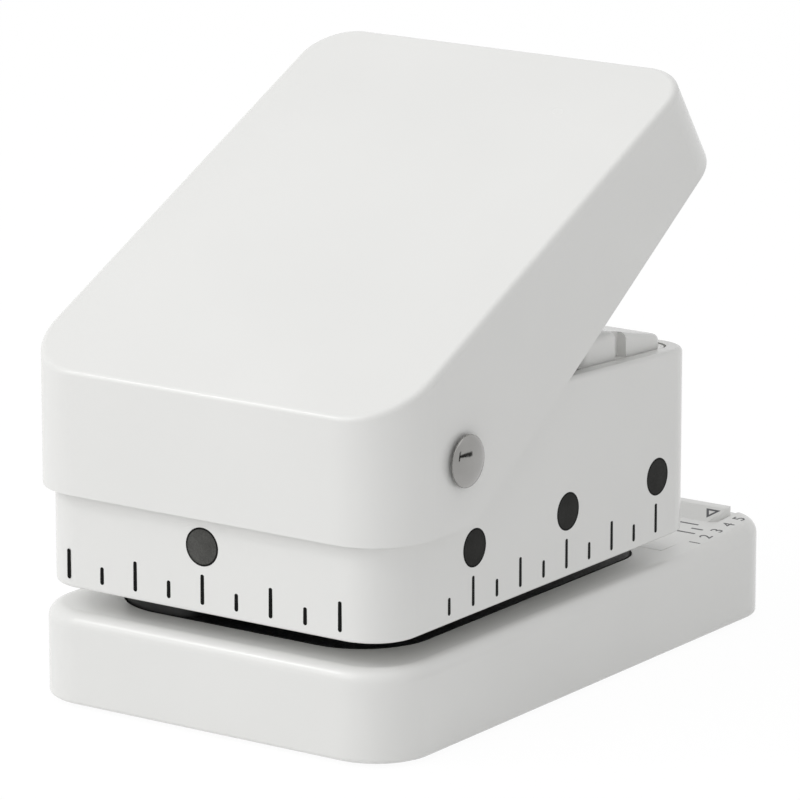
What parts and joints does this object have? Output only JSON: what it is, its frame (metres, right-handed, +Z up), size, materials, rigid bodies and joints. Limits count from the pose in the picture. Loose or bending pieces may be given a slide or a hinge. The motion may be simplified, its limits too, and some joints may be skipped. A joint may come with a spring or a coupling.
{
  "type": "hole punch",
  "caption": "Small planner-sheet hole punch: white wedge handle on a chrome axle presses a bar of punch pins through a side throat, over a chip base with a pull-out paper guide.",
  "frame": {"origin": "on the table under the middle of the punch's bounding box, with the rubber feet resting on Z = 0", "axes": "+Z up, -Y to the front where the handle's skirt is, +X to the right where the paper goes in"},
  "size_m": [0.0558, 0.0808, 0.0695],
  "materials": {
    "white_shell": "moulded white ABS, satin gloss",
    "grey_plastic": "moulded light grey plastic, fine matt grain",
    "black_plastic": "moulded black plastic",
    "black_steel": "blackened steel plate",
    "chrome": "polished chrome plate",
    "zinc_steel": "zinc plated pressed steel",
    "tool_steel": "ground tool steel",
    "spring_steel": "oiled spring steel",
    "brass": "turned brass",
    "screw_steel": "plated steel screws",
    "rubber": "soft black rubber"
  },
  "bodies": {
    "frame": {"base_shell": "white_shell", "base_floor": "grey_plastic", "floor_screws": "screw_steel", "rubber_feet": "rubber", "die_plate": "black_steel", "throat_spacer": "black_plastic", "spine_screws": "screw_steel", "body_shell": "white_shell", "guide_plate": "zinc_steel", "guide_bushes": "brass", "guide_screws": "screw_steel", "mechanism_cover": "white_shell", "cover_screws": "screw_steel", "axle": "chrome", "axle_cap": "chrome", "axle_sleeves": "black_plastic", "return_springs": "spring_steel"},
    "handle": {"handle_shell": "white_shell", "lever": "zinc_steel", "lever_screws": "screw_steel", "press_dowel": "tool_steel"},
    "press": {"press_bar": "zinc_steel", "pressure_pad": "tool_steel", "punch_pin_front": "tool_steel", "punch_pin_middle": "tool_steel", "punch_pin_rear": "tool_steel", "pin_clips": "spring_steel"},
    "guide": {"paper_guide": "white_shell"},
    "door": {"chip_door": "grey_plastic"}
  },
  "joints": [
    {"name": "handle_hinge", "type": "hinge", "parent": "frame", "child": "handle", "pos_m": [0, -0.02677, 0.03333], "axis": [-1, 0, 0], "range_deg": [0, 30], "stiffness_Nm_per_rad": 0.21, "springref_deg": -19.48},
    {"name": "press_slide", "type": "slide", "parent": "frame", "child": "press", "axis": [0, 0, -1], "range_m": [0, 0.00622], "deforming": ["return_springs"]},
    {"name": "guide_slide", "type": "slide", "parent": "frame", "child": "guide", "axis": [0, 1, 0], "range_m": [0, 0.011]},
    {"name": "door_hinge", "type": "hinge", "parent": "frame", "child": "door", "pos_m": [0, 0.02345, 0.00165], "axis": [1, 0, 0], "range_deg": [0, 90]}
  ],
  "couplings": [
    {"joint": "press_slide", "follows": "handle_hinge", "m_per_rad": 0.011863}
  ]
}
